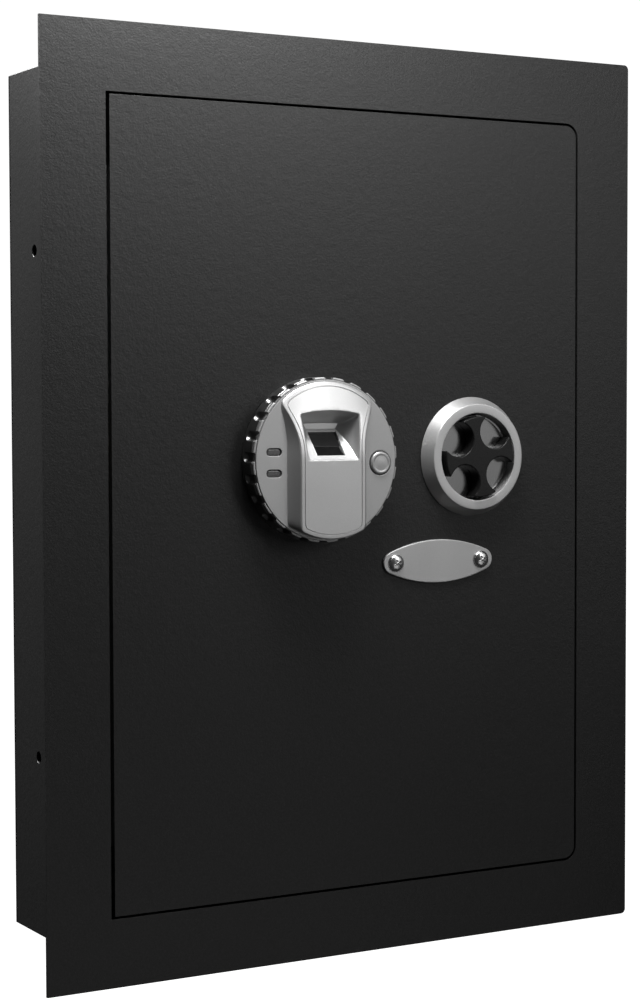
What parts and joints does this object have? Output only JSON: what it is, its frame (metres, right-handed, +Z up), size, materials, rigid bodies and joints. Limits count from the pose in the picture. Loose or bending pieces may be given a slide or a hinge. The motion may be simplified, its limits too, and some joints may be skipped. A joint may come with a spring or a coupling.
{
  "type": "wall safe",
  "caption": "Slim steel safe that recesses between wall studs, with a trim flange, flush hinged door, fingerprint reader, turn knob and shelves inside.",
  "frame": {"origin": "centre of the cut-out in the wall, in the plane of the wall's face, which is the plane of the flange's rear face", "axes": "+X to the right of a person facing the door, +Y into the wall, +Z up"},
  "size_m": [0.394, 0.118, 0.533],
  "materials": {
    "powder_black": "black textured powder coat",
    "zinc_steel": "zinc plated",
    "chrome": "polished plate",
    "silver_paint": "satin silver paint",
    "satin_silver": "satin",
    "dark_chrome": "dark bright plate",
    "black_plastic": "moulded, fine grain",
    "knob_black": "smooth black",
    "sensor_glass": "dark polished glass",
    "led_lens": "smoked lens",
    "brass": "machined",
    "circuit_board": "lacquered board",
    "cable_sheath": "soft sheath",
    "battery_cell": "wrapped cell"
  },
  "bodies": {
    "root": {"wall_flange": "powder_black", "body_shell": "powder_black", "back_panel": "powder_black", "hinge_socket_upper": "zinc_steel", "hinge_socket_lower": "zinc_steel", "door_stop_latch": "zinc_steel", "door_stop_upper": "zinc_steel", "door_stop_lower": "zinc_steel", "shelf_upper": "powder_black", "shelf_lower": "powder_black", "shelf_rail_upper_left": "zinc_steel", "shelf_rail_upper_right": "zinc_steel", "shelf_rail_lower_left": "zinc_steel", "shelf_rail_lower_right": "zinc_steel"},
    "door": {"door_panel": "powder_black", "dead_bar": "zinc_steel", "hinge_tab_upper": "zinc_steel", "hinge_tab_lower": "zinc_steel", "hinge_pin_upper": "chrome", "hinge_pin_lower": "chrome", "bolt_guide": "zinc_steel", "mechanism_cover": "black_plastic", "cover_screw_1": "zinc_steel", "cover_screw_2": "zinc_steel", "cover_screw_3": "zinc_steel", "cover_screw_4": "zinc_steel", "scanner_base": "dark_chrome", "scanner_face": "silver_paint", "scanner_bridge": "silver_paint", "sensor_window": "sensor_glass", "led_lens_upper": "led_lens", "led_lens_lower": "led_lens", "scanner_nut": "zinc_steel", "knob_escutcheon": "satin_silver", "nameplate": "satin_silver", "nameplate_screw_left": "chrome", "nameplate_screw_right": "chrome", "key_cylinder": "brass", "solenoid_body": "zinc_steel", "control_board": "circuit_board", "scanner_cable": "cable_sheath", "battery_box": "black_plastic", "battery_cell_1": "battery_cell", "battery_cell_2": "battery_cell", "battery_cell_3": "battery_cell", "battery_cell_4": "battery_cell"},
    "knob": {"knob_cross": "knob_black", "knob_spindle": "zinc_steel", "knob_cam": "zinc_steel"},
    "bolts": {"bolt_bar": "zinc_steel", "locking_bolt_upper": "chrome", "locking_bolt_lower": "chrome"},
    "plunger": {"solenoid_plunger": "chrome", "plunger_spring": "zinc_steel"},
    "key": {"key_plug": "brass", "key_tailpiece": "zinc_steel"},
    "scan_button": {"scan_button": "silver_paint"},
    "reset_button": {"reset_button": "black_plastic"},
    "battery_cover": {"battery_cover": "black_plastic"}
  },
  "joints": [
    {"name": "door_swing", "type": "hinge", "parent": "root", "child": "door", "pos_m": [-0.1343, 0.0085, 0], "axis": [0, 0, -1], "range_deg": [0, 120]},
    {"name": "knob_turn", "type": "hinge", "parent": "door", "child": "knob", "pos_m": [0.0797, 0, 0.025], "axis": [0, 1, 0], "range_deg": [0, 90]},
    {"name": "bolt_throw", "type": "slide", "parent": "door", "child": "bolts", "axis": [1, 0, 0], "range_m": [0, 0.02]},
    {"name": "plunger_drop", "type": "slide", "parent": "door", "child": "plunger", "axis": [0, 0, -1], "range_m": [0, 0.012], "deforming": ["plunger_spring"]},
    {"name": "key_turn", "type": "hinge", "parent": "door", "child": "key", "pos_m": [0.0558, 0, -0.037], "axis": [0, 1, 0], "range_deg": [0, 90]},
    {"name": "scan_press", "type": "slide", "parent": "door", "child": "scan_button", "axis": [0, 1, 0], "range_m": [0, 0.001], "stiffness_N_per_m": 400, "springref_m": -0.002},
    {"name": "reset_press", "type": "slide", "parent": "door", "child": "reset_button", "axis": [0, -1, 0], "range_m": [0, 0.002], "stiffness_N_per_m": 300, "springref_m": -0.002},
    {"name": "battery_cover_slide", "type": "slide", "parent": "door", "child": "battery_cover", "axis": [0, 0, -1], "range_m": [0, 0.06]}
  ],
  "couplings": [
    {"joint": "bolt_throw", "follows": "knob_turn", "m_per_rad": 0.012732},
    {"joint": "plunger_drop", "follows": "knob_turn", "m_per_rad": 0.007639}
  ]
}
